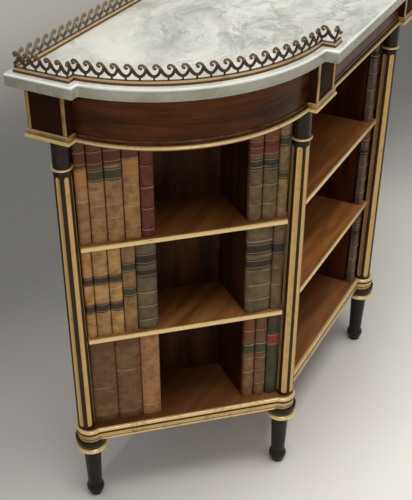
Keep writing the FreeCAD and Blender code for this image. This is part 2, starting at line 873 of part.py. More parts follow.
def spine(x, width, front, floor, height):
    """One false spine. Its rounded face looks to -Y."""
    left = x + spine_gap.value / 2
    right = x + width - spine_gap.value / 2
    back = front + spine_depth.value
    cheek = front + spine_round.value
    arc = Part.Arc(Vector(left, cheek, floor), Vector((left + right) / 2, front, floor),
                   Vector(right, cheek, floor)).toShape()
    rest = Part.makePolygon([Vector(right, cheek, floor), Vector(right, back, floor),
                             Vector(left, back, floor), Vector(left, cheek, floor)])
    return Part.Face(Part.Wire([arc] + rest.Edges)).extrude(Vector(0, 0, height))


def spines(start, width, shares, front, floor, height):
    row = []
    x = start
    for share in shares:
        row.append(spine(x, width * share, front, floor, height))
        x += width * share
    return row


end_spine_front = end_front + spine_setback
middle_spine_front = middle_front + spine_setback
middle_spines = []
for level, floor, ceiling in levels:
    tall = (ceiling - floor - spine_headroom).value
    run = (niche_start - column_gap).value
    books = spines(column_gap.value, run, rear_width_shares[level],
                   end_spine_front.value, 0, tall)
    run = (niche_right - column_gap).value
    books += spines(niche_stop.value, run, front_width_shares[level],
                    end_spine_front.value, 0, tall)
    books_left = feature(f"{level}_spines_shape", Part.makeCompound(books))
    books_left.Placement = end_placement(floor)
    if level == "top":
        books_left = cut("top_spines_cut", books_left, column_room)
    keep(books_left, f"book_spines_{level}_left")
    mirrored(books_left, f"book_spines_{level}_right")
    for x in (front_x + column_gap, ZERO - bay_x):
        middle_spines.append(spine(x.value, middle_book_width.value,
                                   middle_spine_front.value, floor.value, tall))
middle_books = feature("middle_spines_shape", Part.makeCompound(middle_spines))
keep(cut("middle_spines_cut", middle_books, column_room), "book_spines_middle_bay")

# Gallery base: a stepped brass moulding set in from the edge of the marble
gallery_inset = size("gallery_inset", 10)
gallery_width = size("gallery_width", 6)
gallery_foot = size("gallery_foot", 4)
gallery_cap = size("gallery_cap", 3)
gallery_step = size("gallery_step", 1)
gallery_return = size("gallery_return", 26)
gallery_height = gallery_foot + gallery_cap


def rail_outline(near, far):
    """The left rail between two insets from the marble's edge, ends square."""
    start = half_depth - gallery_inset - gallery_width
    outer = left_rim(near)
    inner = left_rim(far)
    stop = marble_front_x + gallery_inset + gallery_return
    back = [(stop, far - half_depth)]
    arc = None
    for corner in reversed(inner):
        back.append((corner[0], corner[1]) + (() if arc is None else (bow_x, bow_y, -1)))
        arc = corner if len(corner) > 2 else None
    return ([(near - half_length, start)] + outer + [(stop, near - half_depth)]
            + back + [(far - half_length, start)])


outer_inset = gallery_inset
inner_inset = gallery_inset + gallery_width
foot_left = slab("gallery_foot_left", rail_outline(outer_inset, inner_inset), gallery_foot)
place(foot_left, z=marble_top_height)
cap_left = slab("gallery_cap_left",
                rail_outline(outer_inset + gallery_step, inner_inset - gallery_step), gallery_cap)
place(cap_left, z=marble_top_height + gallery_foot)
rail_left = joined("gallery_rail_left", [foot_left, cap_left])
keep(rail_left, "gallery_moulding_left")
mirrored(rail_left, "gallery_moulding_right")
foot_back = block("gallery_foot_back", marble_length - gallery_inset * 2, gallery_width,
                  gallery_foot, gallery_inset - half_length, half_depth - inner_inset,
                  marble_top_height)
cap_back = block("gallery_cap_back", marble_length - outer_inset * 2 - gallery_step * 2,
                 gallery_width - gallery_step * 2, gallery_cap,
                 outer_inset + gallery_step - half_length,
                 half_depth - inner_inset + gallery_step, marble_top_height + gallery_foot)
keep(joined("gallery_rail_back", [foot_back, cap_back]), "gallery_moulding_back")

# Pierced running scroll that stands on the rail, one wave to each post
scroll_height = size("scroll_height", 22.5)
scroll_pitch = size("scroll_pitch", 19.2)
scroll_thickness = size("scroll_thickness", 2)
wave_shares = (
    (-0.5, 0.43), (-0.35, 0.33), (-0.16, 0.21), (-0.055, 0.17), (-0.055, 0), (0.055, 0),
    (0.055, 0.17), (0.16, 0.21), (0.35, 0.33), (0.5, 0.43), (0.5, 0.78), (0.43, 0.88),
    (0.33, 0.965), (0.2, 1.0), (0.08, 0.97), (0, 0.89), (0, 0.8), (0.06, 0.74),
    (0.13, 0.76), (0.15, 0.83), (0.22, 0.82), (0.28, 0.74), (0.28, 0.62), (0.2, 0.51),
    (0.06, 0.44), (-0.1, 0.44), (-0.25, 0.51), (-0.38, 0.62), (-0.5, 0.78),
)


def wave(pitch, spread):
    """One wave of the scroll as a plate on the XZ plane. Its faces are spread apart so that
    plates set round a bow meet on their end faces. The outer face looks to -Y."""
    wires = []
    for side in (-1, 1):
        y = side * scroll_thickness.value / 2
        wide = pitch * (1 - side * spread)
        points = [Vector(a * wide, y, b * scroll_height.value) for a, b in wave_shares]
        wires.append(Part.makePolygon(points + points[:1]))
    return Part.makeLoft(wires, True, True)


def scroll_run(start, heading, length):
    """Waves along a straight run, from its start, with a whole number of pitches."""
    count = max(1, round(length / scroll_pitch.value))
    pitch = length / count
    plate = wave(pitch, 0)
    turn = Rotation(Vector(0, 0, 1), heading)
    out = []
    for index in range(count):
        copy = plate.copy()
        along = turn.multVec(Vector(pitch * (index + 0.5), 0, 0))
        copy.Placement = Placement(start + along, turn)
        out.append(copy)
    return out


def scroll_bow(radius, start, stop):
    """Waves round the bow between two headings, in degrees from +X."""
    count = round(math.radians(stop - start) * radius / scroll_pitch.value)
    step = (stop - start) / count
    reach = radius * math.cos(math.radians(step / 2))
    pitch = 2 * radius * math.sin(math.radians(step / 2))
    plate = wave(pitch, scroll_thickness.value / (2 * reach))
    centre = Vector(bow_x.value, bow_y.value, scroll_foot)
    out = []
    for index in range(count):
        angle = start + step * (index + 0.5)
        out_way = Vector(math.cos(math.radians(angle)), math.sin(math.radians(angle)), 0)
        copy = plate.copy()
        copy.Placement = Placement(centre + out_way * reach,
                                   Rotation(Vector(0, 0, 1), angle + 90))
        out.append(copy)
    return out


def one_solid(plates):
    return plates[0].multiFuse(plates[1:]) if len(plates) > 1 else plates[0]


scroll_foot = (marble_top_height + gallery_height).value
scroll_inset = gallery_inset + gallery_width / 2
rim = left_rim(scroll_inset)
end_x = rim[0][0].value
step_y = rim[0][1].value
bow_start = Vector(rim[1][0].value, rim[1][1].value, scroll_foot)
bow_stop = Vector(rim[2][0].value, rim[2][1].value, scroll_foot)
corner_y = rim[3][1].value
back_line = (half_depth - scroll_inset).value
middle_of_bow = Vector(bow_x.value, bow_y.value, scroll_foot)


def heading_of(point):
    way = point - middle_of_bow
    return math.degrees(math.atan2(way.y, way.x)) % 360


clear = scroll_thickness.value / 2
pieces = []
pieces += scroll_run(Vector(end_x, back_line - clear, scroll_foot), -90,
                     back_line - clear - step_y)
pieces += scroll_bow((marble_radius - scroll_inset).value, heading_of(bow_start),
                     heading_of(bow_stop))
pieces += scroll_run(Vector(bow_stop.x, bow_stop.y, scroll_foot), -90, bow_stop.y - corner_y)
pieces += scroll_run(Vector(bow_stop.x, corner_y, scroll_foot), 0, gallery_return.value)
left_scroll = feature("left_scroll_shape", one_solid(pieces))
keep(left_scroll, "gallery_scroll_left")
mirrored(left_scroll, "gallery_scroll_right")
back_length = -2 * end_x
back_waves = scroll_run(Vector(-end_x, back_line, scroll_foot), 180, back_length)
keep(feature("back_scroll_shape", one_solid(back_waves)), "gallery_scroll_back")

doc.recompute()

# Every object has to be sound before anything is written
faults = [item.Name for item in doc.Objects if {"Invalid", "Error"} & set(item.State)]
for item in sub_parts:
    if item.Shape.isNull() or not item.Shape.isValid() or item.Shape.Volume <= 0:
        faults.append(item.Label)
if faults:
    sys.exit("failed: " + ", ".join(faults))

os.makedirs("parts", exist_ok=True)
for item in sub_parts:
    item.Shape.exportStep(f"parts/{item.Label}.step")
print(len(sub_parts), "sub-parts written")
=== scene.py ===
from math import atan2, cos, degrees, pi, radians, sin

import bmesh
import bpy
from mathutils import Euler, Matrix, Vector


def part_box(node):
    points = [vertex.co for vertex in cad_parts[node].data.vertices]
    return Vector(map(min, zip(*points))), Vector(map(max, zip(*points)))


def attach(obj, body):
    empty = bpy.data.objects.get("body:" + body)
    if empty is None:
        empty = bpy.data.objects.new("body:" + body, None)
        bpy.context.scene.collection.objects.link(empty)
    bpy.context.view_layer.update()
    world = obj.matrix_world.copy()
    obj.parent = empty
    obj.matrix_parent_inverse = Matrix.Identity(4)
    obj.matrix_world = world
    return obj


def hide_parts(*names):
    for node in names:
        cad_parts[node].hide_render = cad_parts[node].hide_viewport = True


# Looks of the marble-topped side cabinet, in metres. +Z is up and the front faces -Y.
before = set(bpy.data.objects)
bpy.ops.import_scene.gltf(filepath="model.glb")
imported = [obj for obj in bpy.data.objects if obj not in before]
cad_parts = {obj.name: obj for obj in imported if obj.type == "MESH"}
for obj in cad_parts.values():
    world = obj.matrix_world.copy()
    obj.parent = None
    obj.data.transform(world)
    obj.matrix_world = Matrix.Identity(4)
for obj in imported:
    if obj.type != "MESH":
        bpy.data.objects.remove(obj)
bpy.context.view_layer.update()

# Camera, at the photograph's place: above the left front, looking down on the marble. The
# small shift frames the cabinet as the photograph does.
camera_place = (-1.4195, -0.5975, 1.3420)
camera_turn = (55.774, 1.824, -59.399)
camera_lens = 65.90
camera_shift = (0.112, 0.024)

camera_data = bpy.data.cameras.new("photo_camera")
camera_data.lens = camera_lens
camera_data.shift_x, camera_data.shift_y = camera_shift
camera_data.dof.use_dof = False
camera = bpy.data.objects.new("photo_camera", camera_data)
camera.location = camera_place
camera.rotation_euler = Euler([radians(angle) for angle in camera_turn])
bpy.context.scene.collection.objects.link(camera)
bpy.context.scene.camera = camera
bpy.context.scene.view_settings.view_transform = "Standard"

# Floor: a pale studio floor, its colour darkened towards the left and back as painted shade
# from light falloff and paler again far back as painted light, under soft light from the
# ceiling, with a weak light from the viewer's side so that the openings aren't black.
floor_size = 12.0
floor_near = (252, 247, 238)
floor_painted_shade = (114, 111, 106)
floor_back_painted_light = (206, 200, 190)
floor_way = (0.30, 1.0, 0)
far_reach = (-0.35, 0.85)
back_reach = (1.3, 2.6)
world_tint = (0.94, 0.95, 0.97, 1)
world_strength = 0.36


def paint(red, green, blue):
    """A colour as it is seen on a screen, for a shader."""
    shares = [level / 255 for level in (red, green, blue)]
    return (*[share / 12.92 if share <= 0.04045 else ((share + 0.055) / 1.055) ** 2.4
              for share in shares], 1)


class Reading:
    """A socket of a material. Arithmetic on it adds the Math nodes that it needs."""

    def __init__(self, finish, socket):
        self.finish = finish
        self.socket = socket

    def maths(self, operation, first, second=0.0):
        return self.finish.node("Math", {"operation": operation}, {0: first, 1: second})

    def __add__(self, other):
        return self.maths("ADD", self, other)

    def __sub__(self, other):
        return self.maths("SUBTRACT", self, other)

    def __rsub__(self, other):
        return self.maths("SUBTRACT", other, self)

    def __mul__(self, other):
        return self.maths("MULTIPLY", self, other)

    def __abs__(self):
        return self.maths("ABSOLUTE", self)

    __radd__ = __add__
    __rmul__ = __mul__


class Finish:
    """A material in the making. node() adds one shader node: its type, its settings, and
    the values or readings that its sockets take."""

    def __init__(self, name):
        self.material = bpy.data.materials.new(name)
        self.material.use_nodes = True
        self.tree = self.material.node_tree
        self.shader = self.tree.nodes["Principled BSDF"]

    def node(self, kind, settings=None, inputs=None, output=0):
        made = self.tree.nodes.new("ShaderNode" + kind)
        for name, value in (settings or {}).items():
            setattr(made, name, value)
        for name, value in (inputs or {}).items():
            self.feed(made.inputs[name], value)
        return Reading(self, made.outputs[output])

    def feed(self, socket, value):
        if isinstance(value, Reading):
            self.tree.links.new(value.socket, socket)
        else:
            socket.default_value = value

    def place(self, scale=(1, 1, 1), turn=(0, 0, 0)):
        """Object coordinates, turned and stretched."""
        at = self.node("TexCoord", output="Object")
        return self.node("Mapping", {}, {"Vector": at, "Rotation": turn, "Scale": scale})

    def level(self, foot=0.0):
        """Height above this foot."""
        return self.node("SeparateXYZ", {}, {0: self.place()}, "Z") - foot

    def noise(self, scale, detail=3.0, rough=0.5, place=None, bend=0.0):
        return self.node("TexNoise", {}, {
            "Vector": place or self.place(), "Scale": scale, "Detail": detail,
            "Roughness": rough, "Distortion": bend})

    def between(self, reading, low, high):
        """0 below low, 1 above high, and smooth between."""
        return self.node("MapRange", {"interpolation_type": "SMOOTHSTEP"},
                         {"Value": reading, "From Min": low, "From Max": high})

    def span(self, reading, rise, fall):
        """1 between a rise and a fall, each given by where it starts and ends."""
        return self.between(reading, *rise) * (1 - self.between(reading, *fall))

    def band(self, reading, low, high, brink):
        """1 between low and high, each with a brink of this width inside the band."""
        return self.span(reading, (low, low + brink), (high - brink, high))

    def mix(self, share, first, second, way="MIX"):
        return self.node("Mix", {"data_type": "RGBA", "blend_type": way},
                         {0: share, 6: first, 7: second}, 2)

    def height(self, reading, strength, distance=0.001):
        bump = self.node("Bump", {}, {"Height": reading, "Strength": strength,
                                      "Distance": distance})
        self.set(Normal=bump)

    def set(self, **sockets):
        for name, value in sockets.items():
            self.feed(self.shader.inputs[name.replace("_", " ")], value)


bpy.ops.mesh.primitive_plane_add(size=floor_size)
floor = bpy.context.object
floor.name = "studio_floor"
floor_finish = Finish("studio_floor")
floor_reach = floor_finish.node("VectorMath", {"operation": "DOT_PRODUCT"}, {
    0: floor_finish.place(), 1: floor_way}, "Value")
# Painted shade: the floor darkens towards the left and back, then pales again far back as
# painted light.
floor_shade_share = floor_finish.between(floor_reach + floor_finish.noise(1.3, 2.0) * 0.2, *far_reach)
floor_colour = floor_finish.mix(floor_shade_share, paint(*floor_near), paint(*floor_painted_shade))
floor_colour = floor_finish.mix(floor_finish.between(floor_reach, *back_reach), floor_colour,
                                paint(*floor_back_painted_light))
floor_finish.set(Base_Color=floor_colour, Roughness=0.7)
floor.data.materials.append(floor_finish.material)

world = bpy.data.worlds.new("studio")
world.use_nodes = True
backdrop = world.node_tree.nodes["Background"]
backdrop.inputs["Color"].default_value = world_tint
backdrop.inputs["Strength"].default_value = world_strength
bpy.context.scene.world = world

for lamp_name, place, turn, span, power in (
        ("ceiling_light", (-0.2, -0.6, 5.0), (6, -3, 0), 2.4, 155),
        ("viewer_light", (-2.6, -2.4, 2.0), (62, 0, -47), 1.2, 9)):
    lamp_data = bpy.data.lights.new(lamp_name, "AREA")
    lamp_data.shape = "SQUARE"
    lamp_data.size = span
    lamp_data.energy = power
    lamp = bpy.data.objects.new(lamp_name, lamp_data)
    lamp.location = place
    lamp.rotation_euler = Euler([radians(angle) for angle in turn])
    bpy.context.scene.collection.objects.link(lamp)

# Limits of the meshes: points this near are one, faces this nearly level are one, and
# edges over these angles are shaded sharp or count as an arris.
weld = 1e-6
flat_within = radians(0.6)
sharp_over = radians(32)
arris_over = radians(35)

# Marble top: one sawn slab, white with soft grey clouds and veins. Its upper arris is
# rubbed round, the lower one only broken, and it lies loose on the frieze.
arris_round = 0.0022
marble_grain_turn = radians(-32)
marble_white = (225, 223, 211)
marble_cloud = (193, 191, 182)
marble_blotch = (174, 173, 164)
marble_seam = (150, 149, 142)
marble_hair = (140, 139, 132)
# A painted highlight for the upper arris, and painted shade for the sawn edge.
marble_arris_highlight = (252, 251, 243)
sawn_painted_shade = (0.61, 0.61, 0.54, 1)
sawn_brink = (-0.0042, -0.0022)
arris_brink = (-0.0004, -0.0001)
slab_low, slab_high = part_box("marble_top")


def piece_of(shape, name, finishes):
    """Turns a finished bmesh into an object at the origin with its materials."""
    bmesh.ops.recalc_face_normals(shape, faces=shape.faces)
    mesh = bpy.data.meshes.new(name)
    shape.to_mesh(mesh)
    shape.free()
    for finish in finishes:
        mesh.materials.append(finish)
    piece = bpy.data.objects.new(name, mesh)
    bpy.context.scene.collection.objects.link(piece)
    mesh.shade_smooth()
    mesh.set_sharp_from_angle(angle=sharp_over)
    return piece


def solid_of(node):
    """A CAD piece's mesh with its corners joined and its flat faces whole."""
    shape = bmesh.new()
    shape.from_mesh(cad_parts[node].data)
    bmesh.ops.remove_doubles(shape, verts=shape.verts, dist=weld)
    bmesh.ops.dissolve_limit(shape, angle_limit=flat_within, verts=shape.verts,
                             edges=shape.edges)
    return shape


def eased(node, name, width, finish, wanted=None):
    """A CAD piece with its arrises rounded by this width."""
    shape = solid_of(node)
    arrises = [edge for edge in shape.edges
               if edge.is_manifold and edge.calc_face_angle(0) > arris_over
               and (wanted is None or wanted(edge))]
    bmesh.ops.bevel(shape, geom=arrises, offset=width, affect="EDGES", segments=2,
                    profile=0.5, material=-1, clamp_overlap=True)
    bmesh.ops.triangulate(shape, faces=[face for face in shape.faces if len(face.verts) > 4],
                          ngon_method="EAR_CLIP")
    piece = piece_of(shape, name, [finish])
    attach(piece, "root")
    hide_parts(node)


def marble():
    """Clouds and blotches under two sets of veins, which come and go by region. The sawn
    edge is darkened as painted shade, and its upper arris carries a white painted highlight."""
    finish = Finish("grey_veined_marble")
    lie = finish.place((2.2, 5.0, 5.0), (0, 0, marble_grain_turn))
    stir = finish.node("TexNoise", {}, {"Vector": finish.place(), "Scale": 4.5, "Detail": 4.0},
                       "Color")
    swirl = finish.node("VectorMath", {"operation": "SCALE"}, {0: stir, "Scale": 1.1})
    bent = finish.node("VectorMath", {"operation": "ADD"}, {0: lie, 1: swirl})
    cloud = finish.noise(1.7, 6.0, 0.62, bent)
    blotch = finish.noise(4.6, 5.0, 0.68, bent, 0.3)
    region = finish.noise(2.6, 3.0)
    seam = 1 - finish.between(abs(finish.noise(2.3, 6.0, 0.66, bent, 0.5) - 0.5), 0.0, 0.040)
    hair = 1 - finish.between(abs(finish.noise(5.5, 5.0, 0.7, bent, 0.6) - 0.5), 0.0, 0.030)
    colour = finish.mix(finish.between(cloud, 0.40, 0.64), paint(*marble_white),
                        paint(*marble_cloud))
    colour = finish.mix(finish.between(blotch, 0.50, 0.68) * 0.52, colour,
                        paint(*marble_blotch))
    colour = finish.mix(seam * finish.between(region, 0.42, 0.62) * 0.60, colour,
                        paint(*marble_seam))
    colour = finish.mix(hair * finish.between(region, 0.36, 0.60) * 0.34, colour,
                        paint(*marble_hair))
    level = finish.level(slab_high.z)
    # Painted shade: the upright sawn edge is darkened and greyed.
    sawn = 1 - finish.between(level, *sawn_brink)
    colour = finish.mix(sawn * (0.75 + blotch * 0.4), colour, sawn_painted_shade, "MULTIPLY")
    # Painted highlight: a white band along the upper arris.
    arris = (1 - sawn) * (1 - finish.between(level, *arris_brink))
    colour = finish.mix(arris * 0.75, colour, paint(*marble_arris_highlight))
    finish.set(Base_Color=colour, Roughness=0.24 + blotch * 0.10 + sawn * 0.1, Coat_Weight=0.1)
    return finish.material


def upper_or_upright(edge):
    """An edge round the slab's top or at one of its corners."""
    first, last = (vert.co.z for vert in edge.verts)
    return min(first, last) > slab_high.z - 1e-4 or abs(first - last) > 0.01


eased("marble_top", "marble_slab", arris_round, marble(), upper_or_upright)

# Gallery base: a cast brass moulding in two steps, run round the top inside the marble's
# edge and mitred at the corners. It is brighter on a band just under its top and darker
# above and below that band.
rail_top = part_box("gallery_moulding_left")[1].z


def cast_brass(name, bright, dark, low, high):
    """Brass that is brighter between two heights over the rail and darker elsewhere, with
    random patches where it is less bright."""
    finish = Finish(name)
    patch = finish.noise(38.0, 4.0, 0.6)
    # Brighter in a band between the two heights, with random duller patches.
    rub = finish.band(finish.level(rail_top), low, high, 0.0005) * (
        1 - finish.between(patch, 0.52, 0.78) * 0.45)
    finish.set(Base_Color=finish.mix(rub, paint(*dark), paint(*bright)), Metallic=0.6,
               Roughness=0.34 + patch * 0.16)
    finish.height(finish.noise(420.0, 2.0), 0.12, 0.0004)
    return finish.material


def dress(material, *nodes):
    """Gives CAD pieces, whose shape is already right, their finish."""
    for node in nodes:
        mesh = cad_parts[node].data
        mesh.materials.clear()
        mesh.materials.append(material)


rail_brass = cast_brass("gallery_rail_brass", (224, 200, 154), (110, 80, 42), -0.0036, -0.0004)
dress(rail_brass, "gallery_moulding_left", "gallery_moulding_right", "gallery_moulding_back")

# Gallery scroll: pierced running waves of cast bronze, one to each post, soldered to the
# rail. Each wave rises from the foot of the last one and curls back over it.
wave_pitch = 0.0192
wave_height = 0.0218
bar_thickness = 0.0018
bar_sides = 6
curl_end = (0.10, 0.74)
curl_end_radius = 0.0021
edge_inset = 0.013
bow_centre = Vector((-0.2255, 0.1045, rail_top))
bow_rail_radius = 0.2755 - edge_inset
end_line = slab_low.x + edge_inset
back_line = slab_high.y - edge_inset
front_line = slab_low.y + edge_inset
rear_step = 0.0775 + edge_inset
front_step = -0.2415 + edge_inset
front_return = 0.026
wave_spine = [
    (0.11, 0.71, 0.060), (0.00, 0.75, 0.080), (-0.04, 0.86, 0.085), (0.06, 0.955, 0.085),
    (0.23, 0.950, 0.090), (0.38, 0.83, 0.105), (0.48, 0.68, 0.120), (0.60, 0.50, 0.125),
    (0.73, 0.37, 0.120), (0.87, 0.28, 0.110), (1.02, 0.25, 0.105),
]
belly_spine = [
    (-0.03, 0.25, 0.100), (0.14, 0.27, 0.105), (0.28, 0.37, 0.105), (0.39, 0.52, 0.105),
    (0.43, 0.66, 0.085),
]
post_spine = [(0.0, -0.02, 0.085), (0.0, 0.12, 0.065), (0.0, 0.30, 0.090)]


def bar(shape, spine, pitch):
    """A cast bar along a line of (share along, share up, half width), by bridged rings."""
    rings = []
    for index, (along, up, half) in enumerate(spine):
        before = spine[max(index - 1, 0)]
        after = spine[min(index + 1, len(spine) - 1)]
        lean = atan2((after[1] - before[1]) * wave_height, (after[0] - before[0]) * pitch)
        spin = Matrix.Rotation(-lean, 4, "Y") @ Matrix.Rotation(pi / 2, 4, "Y")
        size = Matrix.Diagonal((half * wave_height, bar_thickness, 1, 1))
        at = Matrix.Translation((along * pitch, 0, up * wave_height))
        made = bmesh.ops.create_circle(shape, segments=bar_sides, radius=1.0, cap_ends=False,
                                       matrix=at @ spin @ size)
        rings.append({edge for vert in made["verts"] for edge in vert.link_edges})
    for first, second in zip(rings, rings[1:]):
        bmesh.ops.bridge_loops(shape, edges=list(first | second))
    for ring in (rings[0], rings[-1]):
        bmesh.ops.contextual_create(shape, geom=list(ring))


def add_waves(shape, places):
    """Waves at (place, heading in degrees, pitch)."""
    for place, heading, pitch in places:
        before = set(shape.verts)
        for spine in (wave_spine, belly_spine, post_spine):
            bar(shape, spine, pitch)
        drop = Matrix.Translation((curl_end[0] * pitch, 0, curl_end[1] * wave_height))
        bmesh.ops.create_icosphere(shape, subdivisions=1, radius=curl_end_radius, matrix=drop)
        new = [vert for vert in shape.verts if vert not in before]
        turn = Matrix.Rotation(radians(heading), 4, "Z")
        back = Matrix.Translation((-pitch / 2, 0, 0))
        bmesh.ops.transform(shape, matrix=Matrix.Translation(place) @ turn @ back, verts=new)


def straight(start, heading, length):
    """Places along a straight run, with the pitch eased to fit it."""
    count = max(1, round(length / wave_pitch))
    pitch = length / count
    way = Vector((cos(radians(heading)), sin(radians(heading)), 0))
    return [(start + way * pitch * (index + 0.5), heading, pitch) for index in range(count)]


def round_bow(start, stop):
    """Places along the bow from one point of it to another."""
    first = atan2(start.y - bow_centre.y, start.x - bow_centre.x) % (2 * pi)
    last = atan2(stop.y - bow_centre.y, stop.x - bow_centre.x) % (2 * pi)
    count = round((last - first) * bow_rail_radius / wave_pitch)
    step = (last - first) / count
    pitch = 2 * bow_rail_radius * sin(step / 2)
    places = []
    for index in range(count):
        angle = first + step * (index + 0.5)
        out = Vector((cos(angle), sin(angle), 0)) * bow_rail_radius
        places.append((bow_centre + out, degrees(angle) + 90, pitch))
    return places


def along_bow(offset):
    """How far the bow lies from its centre one way, where it is this far off the other."""
    return (bow_rail_radius ** 2 - offset ** 2) ** 0.5


end_start = Vector((end_line, back_line, rail_top))
end_stop = Vector((end_line, rear_step, rail_top))
bow_start = Vector((bow_centre.x - along_bow(bow_centre.y - rear_step), rear_step, rail_top))
bow_stop = Vector((front_step, bow_centre.y - along_bow(bow_centre.x - front_step), rail_top))
front_start = Vector((front_step, front_line, rail_top))
left_places = (straight(end_start, -90, back_line - rear_step)
               + straight(end_stop, 0, bow_start.x - end_line)
               + round_bow(bow_start, bow_stop)
               + straight(bow_stop, -90, bow_stop.y - front_line)
               + straight(front_start, 0, front_return))
back_places = straight(Vector((-end_line, back_line, rail_top)), 180, -2 * end_line)

front_bronze = cast_brass("front_scroll_bronze", (126, 104, 76), (78, 62, 44), 0.016, 0.030)
back_bronze = cast_brass("back_scroll_bronze", (160, 144, 116), (112, 98, 74), 0.010, 0.030)
for side, places, sign in (("left", left_places, 1), ("right", left_places, -1),
                           ("back", back_places, 1)):
    scroll = bmesh.new()
    add_waves(scroll, places)
    bmesh.ops.scale(scroll, vec=(sign, 1, 1), verts=scroll.verts)
    scroll_piece = piece_of(scroll, f"gallery_waves_{side}",
                            [back_bronze if side == "back" else front_bronze])
    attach(scroll_piece, "root")
    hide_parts(f"gallery_scroll_{side}")

# Frieze: bowed and straight rails veneered in dark rosewood with the figure lying level,
# French polished, with a thin bead and a gilt half-round along the foot.
wood_glint = (1.0, 0.76, 0.52, 1)
# Frieze gilt colours: a painted highlight and painted shade on the half-round, its lips, and
# bare wear.
nose_painted_highlight = (252, 230, 168)
nose_painted_shade = (172, 122, 58)
nose_lips = (150, 108, 56)
nose_bare = (140, 98, 50)


def timber(name, pale, deep, stretch, gloss, coat=0.0):
    """Polished wood. stretch is how fine the grain is along X, Y and Z."""
    finish = Finish(name)
    lie = finish.place(stretch)
    streak = finish.noise(1.0, 6.0, 0.62, lie, 0.35)
    pores = finish.noise(4.0, 3.0, 0.7, lie)
    patch = finish.noise(5.0, 3.0)
    deepen = finish.between(streak * 0.75 + patch * 0.25, 0.36, 0.62)
    colour = finish.mix(deepen, paint(*pale), paint(*deep))
    colour = finish.mix(finish.between(pores, 0.56, 0.72) * 0.45, colour,
                        paint(*[level * 0.55 for level in deep]))
    finish.set(Base_Color=colour, Roughness=gloss + pores * 0.12, Coat_Weight=coat)
    finish.shader.inputs["Coat Roughness"].default_value = 0.16
    finish.shader.inputs["Specular IOR Level"].default_value = 0.14
    finish.shader.inputs["Specular Tint"].default_value = wood_glint
    finish.height(pores, 0.10, 0.0006)
    return finish.material


rosewood = timber("rosewood_veneer", (92, 49, 17), (46, 20, 6), (5, 5, 60), 0.28, 0.05)
dress(rosewood, "frieze_bow_left", "frieze_bow_right", "frieze_rail_front")
bead_wood = timber("polished_bead", (122, 86, 52), (66, 36, 18), (30, 30, 90), 0.2, 0.4)
dress(bead_wood, "frieze_beads")


def gilding(name, leaf, ground, wear, sheen, scale=60.0):
    """Water gilding over bole, rubbed through in patches by this share."""
    finish = Finish(name)
    broad = finish.noise(scale * 0.4, 4.0, 0.6)
    fine = finish.noise(scale * 3, 4.0, 0.65)
    rubbed = finish.between(broad * 0.55 + fine * 0.45, 0.66 - wear * 0.3, 0.80 - wear * 0.3)
    tone = finish.mix(fine * 0.45, paint(*leaf), paint(*[level * 0.82 for level in leaf]))
    finish.set(Base_Color=finish.mix(rubbed, tone, paint(*ground)),
               Metallic=0.5 - rubbed * 0.4, Roughness=sheen + rubbed * 0.25)
    finish.height(fine, 0.15, 0.0005)
    return finish.material


bright_gilt = gilding("ring_gilding", (250, 222, 150), (156, 112, 56), 0.16, 0.28)
gilt_low, gilt_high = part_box("frieze_gilt_left")


def nose_gilding(name):
    """Painted highlight on the upper half of the half-round, painted shade below, dull on the
    lips.
    """
    finish = Finish(name)
    level = finish.level(gilt_low.z)
    broad = finish.noise(30.0, 4.0, 0.6)
    fine = finish.noise(150.0, 4.0, 0.65)
    tall = gilt_high.z - gilt_low.z
    # Painted highlight on the upper half-round over painted shade on the lower half.
    colour = finish.mix(finish.between(level + broad * 0.001, tall * 0.25, tall * 0.62),
                        paint(*nose_painted_shade), paint(*nose_painted_highlight))
    colour = finish.mix(finish.between(level, tall * 0.78, tall * 0.88), colour,
                        paint(*nose_lips))
    colour = finish.mix(finish.between(fine * 0.6 + broad * 0.4, 0.52, 0.68) * 0.4, colour,
                        paint(*nose_bare))
    finish.set(Base_Color=colour, Metallic=0.5, Roughness=0.26 + fine * 0.14)
    finish.height(fine, 0.12, 0.0004)
    return finish.material


dress(nose_gilding("frieze_gilding"), "frieze_gilt_left", "frieze_gilt_right",
      "frieze_gilt_front")
carcass = timber("carcass_wood", (120, 84, 56), (78, 50, 32), (6, 50, 50), 0.55)
dress(carcass, "frieze_rail_back", "soffit_board")

# Corner blocks: square blocks over the columns, veneered dark and polished. Each has two
# thin brass strips on its outer face and a moulded brass foot, mitred round three sides.
block_foot_z = 0.758
strip_foot_z = 0.772
strip_head_z = 0.840
strip_width = 0.006
strip_proud = 0.0018
strip_sunk = 0.0005
strip_round = 0.0007
block_round = 0.0012
rear_wraps = (0.016, 0.010)
front_wraps = (0.012, 0.0095)
brass_nose_brink = (0.0062, 0.0072)
brass_lip_rise = (0.0118, 0.0126)
brass_lip_fall = (0.0140, 0.0144)
brass_dull = (188, 154, 88)
brass_brown = (146, 110, 60)
# Painted highlights for the foot's lower half-round and for its top lip.
brass_nose_highlight = (250, 218, 142)
brass_lip_highlight = (236, 206, 150)
brass_bare = (104, 72, 38)
ebony_worn = (92, 64, 42)
foot_section = [
    (-0.001, 0.0), (0.0032, 0.0003), (0.0047, 0.0017), (0.0052, 0.0036), (0.0047, 0.0055),
    (0.0034, 0.0068), (0.0022, 0.0070), (0.0022, 0.0078), (0.0032, 0.0082),
    (0.0034, 0.0116), (0.0024, 0.0126), (0.0021, 0.0140), (-0.001, 0.0140),
]
rear_low, rear_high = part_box("corner_block_rear_left")
front_low, front_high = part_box("corner_block_front_left")
